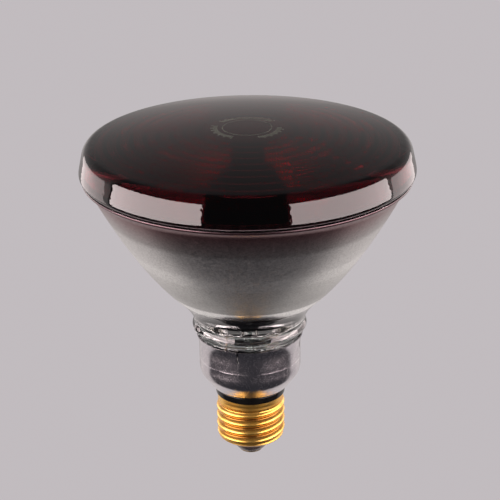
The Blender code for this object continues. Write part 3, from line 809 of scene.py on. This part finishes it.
def make_filament(material):
    """A fine coil on half a ring, from one post to the other."""
    turns = 46
    points_per_turn = 12
    wire_radius = 0.11 * MM
    coil_radius = 0.9 * MM
    ring_radius = 8.0 * MM
    end_angle = 0.22
    height = (coil_low.z + coil_high.z) / 2
    points = []
    for index in range(turns * points_per_turn + 1):
        share = index / (turns * points_per_turn)
        angle = -end_angle - share * (math.pi - 2 * end_angle)
        turn = 2 * math.pi * index / points_per_turn
        reach = ring_radius + coil_radius * math.cos(turn)
        points.append((reach * math.cos(angle), reach * math.sin(angle),
                       height + coil_radius * math.sin(turn)))
    coil = wire("filament", points, wire_radius, resolution=2)
    return settle(coil, "filament", material)


def make_turned_small(node, material, closed, outline):
    """A fine version of a small turned piece, round its own axis."""
    low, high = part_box(node)
    centre = ((low.x + high.x) / 2, (low.y + high.y) / 2)
    piece = lathe(node, outline(low.z, high.z), steps=SMALL_STEPS, closed=closed, centre=centre)
    return settle(piece, node, material)


def ferrule_outline(bottom, top):
    radius = 2.7 * MM
    bore = 2.3 * MM
    outline = [(0.0, top), (radius, top), (radius, bottom + 0.4 * MM),
               (radius + 0.1 * MM, bottom), (bore, bottom), (bore, top - 0.4 * MM),
               (0.0, top - 0.4 * MM)]
    return rounded(outline, 0.5 * MM, steps=4)


def braze_outline(bottom, top):
    outline = [(0.55 * MM, top), (0.9 * MM, top - 0.1 * MM), (1.7 * MM, bottom + 0.1 * MM),
               (1.7 * MM, bottom - 0.25 * MM), (0.55 * MM, bottom - 0.25 * MM)]
    return rounded(outline, 0.25 * MM, closed=True)


def clamp_outline(bottom, top):
    radius = 0.9 * MM
    outline = [(0.0, top), (radius, top), (radius, bottom + 1.3 * MM),
               (radius - 0.25 * MM, bottom + 1.1 * MM), (radius, bottom + 0.9 * MM),
               (radius, bottom), (0.0, bottom)]
    return rounded(outline, 0.2 * MM)


def exhaust_outline(bottom, top):
    radius = 1.9 * MM
    tip = arc((0.0, bottom + radius), radius, 0.0, -math.pi / 2, 12)
    well = bottom + 2.4 * MM
    return ([(0.0, well), (0.7 * MM, well + 0.2 * MM), (1.0 * MM, well + 0.8 * MM),
             (1.0 * MM, top), (radius, top)] + tip[:-1] + [(0.0, bottom)])


# Studio.

def make_camera():
    camera = bpy.data.cameras.new("camera")
    camera.lens = VIEW_LENS
    camera.sensor_width = 36.0
    camera.clip_end = 50.0
    holder = placed("camera", camera)
    back = Vector((0.0, -math.cos(VIEW_ELEVATION), math.sin(VIEW_ELEVATION)))
    holder.location = VIEW_TARGET + VIEW_DISTANCE * back
    aim = back.to_track_quat("Z", "Y").to_matrix() @ Matrix.Rotation(VIEW_ROLL, 3, "Z")
    holder.rotation_euler = aim.to_euler()
    bpy.context.scene.camera = holder


def make_softbox(name, bearing, rise, width, height, power):
    """A soft rectangular lamp that faces the object; its bearing is in degrees from the front."""
    light = bpy.data.lights.new(name, "AREA")
    light.shape = "RECTANGLE"
    light.size = width
    light.size_y = height
    light.energy = power
    light.color = LIGHT_TINT
    holder = placed(name, light)
    turn = math.radians(bearing)
    lift = math.radians(rise)
    away = Vector((math.sin(turn) * math.cos(lift), -math.cos(turn) * math.cos(lift),
                   math.sin(lift)))
    holder.location = LIGHT_TARGET + LIGHT_REACH * away
    holder.rotation_euler = away.to_track_quat("Z", "Y").to_euler()
    holder.visible_camera = False


def make_world():
    """A room that is dark in front and pale behind, fading upwards.  The camera sees it as plain."""
    world = bpy.data.worlds.new("studio")
    bpy.context.scene.world = world
    world.use_nodes = True
    world.node_tree.nodes.clear()
    room = Nodes(world.node_tree)
    direction = room.node("ShaderNodeTexCoord").outputs["Generated"]
    parts = room.node("ShaderNodeSeparateXYZ", Vector=direction).outputs

    def smooth(value, low, high):
        made = room.node("ShaderNodeMapRange", Value=value, From_Min=low, From_Max=high)
        made.interpolation_type = "SMOOTHSTEP"
        return made.outputs["Result"]

    levels = ((0.0, 1.0), (0.15, 0.62), (0.35, 0.42), (0.50, 0.28), (0.66, 0.15), (0.80, 0.06),
              (1.0, 0.0))
    ceiling = room.ramp(room.spread(parts["Z"], -0.1, 0.9, 0.0, 1.0),
                        *((place, (level,) * 3) for place, level in levels))
    behind = smooth(parts["Y"], 0.20, 0.27)
    low_behind = room.maths("MULTIPLY", smooth(parts["Y"], 0.76, 0.92),
                            smooth(parts["Z"], -0.15, -0.30))
    dimming = room.spread(low_behind, 0.0, 1.0, 1.0, 0.5)
    share = room.maths("MULTIPLY", room.maths("MULTIPLY", behind, ceiling), dimming)
    lit = room.node("ShaderNodeBackground", Color=room.mix(share, DARK_ROOM, PALE_ROOM))
    shown = room.node("ShaderNodeBackground", Color=(*BACKGROUND, 1.0))
    blend = room.node("ShaderNodeMixShader")
    room.feed(blend.inputs[0], room.node("ShaderNodeLightPath").outputs["Is Camera Ray"])
    room.feed(blend.inputs[1], lit.outputs[0])
    room.feed(blend.inputs[2], shown.outputs[0])
    room.node("ShaderNodeOutputWorld", Surface=blend.outputs[0])


def make_floor():
    """A wide pale floor far below the lamp, which hangs in the air."""
    disc = bmesh.new()
    bmesh.ops.create_circle(disc, cap_ends=True, segments=96, radius=FLOOR_RADIUS)
    mesh = mesh_from(disc, "studio_floor")
    floor = placed("studio_floor", mesh)
    floor.location.z = FLOOR_HEIGHT
    paper = bpy.data.materials.new("floor_paper")
    paper.use_nodes = True
    paper.node_tree.nodes.clear()
    sheet = Nodes(paper.node_tree)
    glow = sheet.node("ShaderNodeEmission", Color=(*BACKGROUND, 1.0))
    sheet.node("ShaderNodeOutputMaterial", Surface=glow.outputs[0])
    mesh.materials.append(paper)
    floor.visible_glossy = False
    floor.visible_diffuse = False
    floor.visible_shadow = False
    floor.visible_transmission = False


bpy.context.scene.view_settings.view_transform = "Standard"
make_camera()
make_world()
make_floor()
make_softbox("softbox_left", bearing=-65.0, rise=3.0, width=2.24, height=1.0, power=60.0)
make_softbox("softbox_right", bearing=66.5, rise=3.0, width=2.64, height=1.0, power=56.0)
make_softbox("panel_left", bearing=-128.0, rise=-8.4, width=1.16, height=0.67, power=4.2)
make_softbox("panel_right", bearing=128.0, rise=-8.4, width=1.16, height=0.67, power=4.2)

clear = clear_glass("clear_glass", (0.93, 0.96, 0.95))
# Painted shade: near-black tint on the heel's clear glass.
heel_painted_shade_glass = clear_glass("heel_painted_shade_glass", (0.05, 0.05, 0.05))
nickel = metal("lead_nickel", (0.50, 0.48, 0.44), (0.68, 0.66, 0.62), 0.2, 0.4, 700.0)
ferrule_alloy = metal("ferrule_alloy", (0.36, 0.34, 0.31), (0.58, 0.56, 0.52), 0.25, 0.5, 400.0)
braze_alloy = metal("braze_alloy", (0.55, 0.42, 0.24), (0.76, 0.62, 0.38), 0.3, 0.5, 600.0)
solder_alloy = metal("solder_alloy", (0.44, 0.44, 0.45), (0.66, 0.66, 0.67), 0.25, 0.5, 500.0)
copper = metal("copper_wire", (0.30, 0.22, 0.17), (0.42, 0.33, 0.27), 0.3, 0.5, 600.0)
contact_brass = metal("contact_brass", (0.42, 0.32, 0.20), (0.66, 0.54, 0.34), 0.2, 0.45, 350.0)
tungsten = metal("tungsten", (0.22, 0.22, 0.23), (0.34, 0.34, 0.35), 0.35, 0.55, 900.0)

make_lens(ruby_glass("ruby_glass", (0.168, 0.005, 0.009), 70.0, 0.05),
          # Edge glass: tinted darker for the thick glass and as painted shade.
          ruby_glass("ruby_thick_edge_painted_shade", (0.045, 0.004, 0.006), 170.0, 0.45),
          plain("seal_glass", (0.10, 0.07, 0.08), (0.22, 0.17, 0.18), 0.2, 0.4, 500.0))
lens_mark()
make_reflector(clear, silvered_glass(), heel_painted_shade_glass)
make_mirror(mirror_film())
make_skirt(skirt_aluminium())
make_screw_shell(shell_brass())
make_insulating_ring(black_insulation())
make_base_insulator(black_glass())
make_contact(contact_brass)
make_solder(solder_alloy)
make_filament(tungsten)
for label in ("left", "right"):
    make_turned_small("ferrule_" + label, ferrule_alloy, False, ferrule_outline)
    make_turned_small("ferrule_braze_" + label, braze_alloy, True, braze_outline)
    make_turned_small("filament_clamp_" + label, nickel, False, clamp_outline)
make_turned_small("exhaust_tip", clear, False, exhaust_outline)

# Pieces whose shape is already right keep their CAD solids and get finer materials.
kept = {
    "lead_post_left": nickel, "lead_post_right": nickel, "filament_support_left": nickel,
    "filament_support_right": nickel, "lead_wire_fused": copper, "lead_wire_centre": copper,
    "lead_wire_shell": copper, "shell_solder": solder_alloy,
    "support_bead": plain("bead_glass", (0.70, 0.74, 0.70), (0.82, 0.86, 0.82), 0.08, 0.2, 300.0),
    "fuse": plain("fuse_body", (0.78, 0.76, 0.70), (0.88, 0.86, 0.80), 0.4, 0.6, 300.0),
    "insulating_sleeve": plain("sleeve_fibre", (0.72, 0.70, 0.60), (0.86, 0.84, 0.75), 0.8, 0.95,
                               900.0),
}
for node, material in kept.items():
    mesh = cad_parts[node].data
    mesh.materials.clear()
    mesh.materials.append(material)
